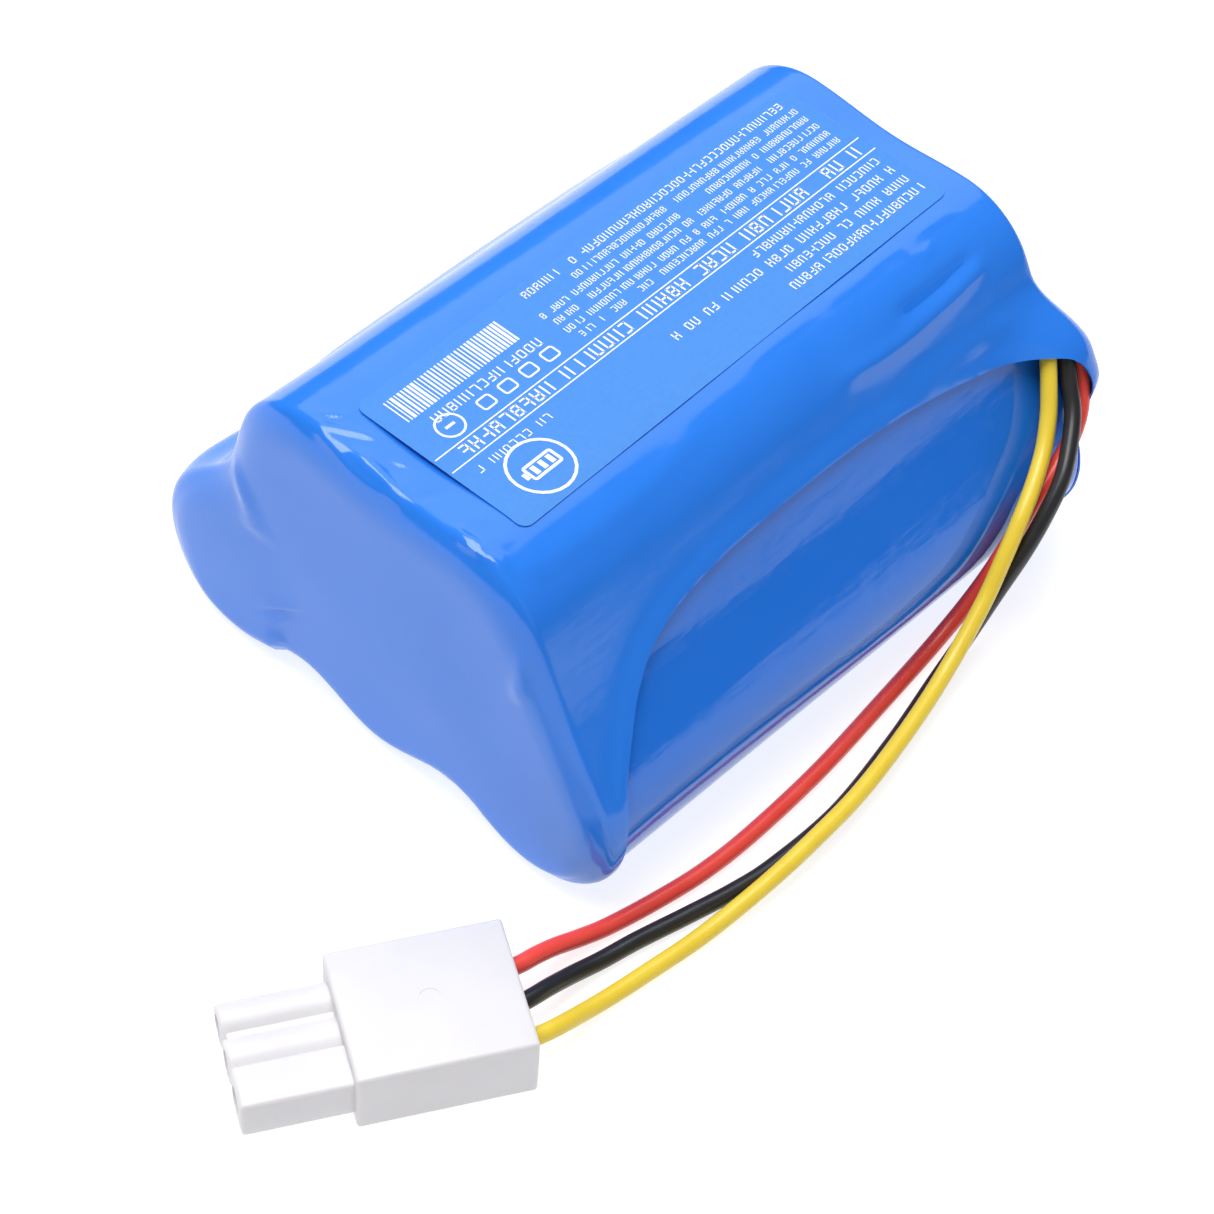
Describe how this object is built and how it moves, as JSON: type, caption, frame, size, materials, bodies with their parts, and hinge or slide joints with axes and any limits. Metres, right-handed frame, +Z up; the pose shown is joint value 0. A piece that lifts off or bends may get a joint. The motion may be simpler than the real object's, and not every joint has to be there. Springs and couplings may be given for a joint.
{
  "type": "battery pack",
  "caption": "Rechargeable battery pack of nested round cells in blue shrink film with a top label, and short coloured leads that end in a white plug.",
  "frame": {"origin": "middle of the wrapped cells' footprint, on the surface that the pack rests on", "axes": "+Y along the cells towards the end where the leads come out, +X across the cells towards the side with the leads, +Z up"},
  "size_m": [0.0654, 0.1078, 0.0353],
  "materials": {
    "blue_shrink_film": "glossy shrink film",
    "blue_inner_film": "semi-gloss shrink film",
    "printed_label": "satin printed film label",
    "red_lead_skin": "semi-gloss insulation",
    "black_lead_skin": "semi-gloss insulation",
    "yellow_lead_skin": "semi-gloss insulation",
    "white_nylon": "moulded nylon",
    "tinned_brass": "tin plated",
    "nickelled_steel_can": "nickel plated",
    "cell_wrap": "shrink film",
    "electrode_roll": "coated foil winding",
    "seal_plastic": "moulded",
    "fibre_paper": "calendered fibre paper",
    "nickel_strip": "rolled nickel",
    "board_laminate": "solder-masked laminate",
    "chip_epoxy": "moulded epoxy",
    "sensor_bead": "coated bead",
    "sense_wire_skin": "thin insulation"
  },
  "bodies": {
    "root": {"outer_sleeve": "blue_shrink_film", "inner_sleeve": "blue_inner_film", "label": "printed_label", "red_lead": "red_lead_skin", "black_lead": "black_lead_skin", "yellow_lead": "yellow_lead_skin", "plug_housing": "white_nylon", "red_contact": "tinned_brass", "black_contact": "tinned_brass", "yellow_contact": "tinned_brass", "cell_1_can": "nickelled_steel_can", "cell_1_positive_cap": "nickelled_steel_can", "cell_2_can": "nickelled_steel_can", "cell_2_positive_cap": "nickelled_steel_can", "cell_3_can": "nickelled_steel_can", "cell_3_positive_cap": "nickelled_steel_can", "cell_4_can": "nickelled_steel_can", "cell_4_positive_cap": "nickelled_steel_can", "cell_5_can": "nickelled_steel_can", "cell_5_positive_cap": "nickelled_steel_can", "cell_1_wrap": "cell_wrap", "cell_2_wrap": "cell_wrap", "cell_3_wrap": "cell_wrap", "cell_4_wrap": "cell_wrap", "cell_5_wrap": "cell_wrap", "cell_1_electrode_roll": "electrode_roll", "cell_2_electrode_roll": "electrode_roll", "cell_3_electrode_roll": "electrode_roll", "cell_4_electrode_roll": "electrode_roll", "cell_5_electrode_roll": "electrode_roll", "cell_1_seal": "seal_plastic", "cell_2_seal": "seal_plastic", "cell_3_seal": "seal_plastic", "cell_4_seal": "seal_plastic", "cell_5_seal": "seal_plastic", "cell_1_insulating_ring": "fibre_paper", "cell_2_insulating_ring": "fibre_paper", "cell_3_insulating_ring": "fibre_paper", "cell_4_insulating_ring": "fibre_paper", "cell_5_insulating_ring": "fibre_paper", "near_end_paper": "fibre_paper", "far_end_paper": "fibre_paper", "board_paper": "fibre_paper", "link_1_2": "nickel_strip", "link_2_3": "nickel_strip", "link_3_4": "nickel_strip", "link_4_5": "nickel_strip", "negative_tab": "nickel_strip", "positive_tab": "nickel_strip", "protection_board": "board_laminate", "charge_switch": "chip_epoxy", "discharge_switch": "chip_epoxy", "protector_chip": "chip_epoxy", "temperature_sensor": "sensor_bead", "current_shunt": "sensor_bead", "sense_wire_negative": "sense_wire_skin", "sense_wire_1": "sense_wire_skin", "sense_wire_2": "sense_wire_skin", "sense_wire_3": "sense_wire_skin", "sense_wire_4": "sense_wire_skin"}
  },
  "joints": []
}
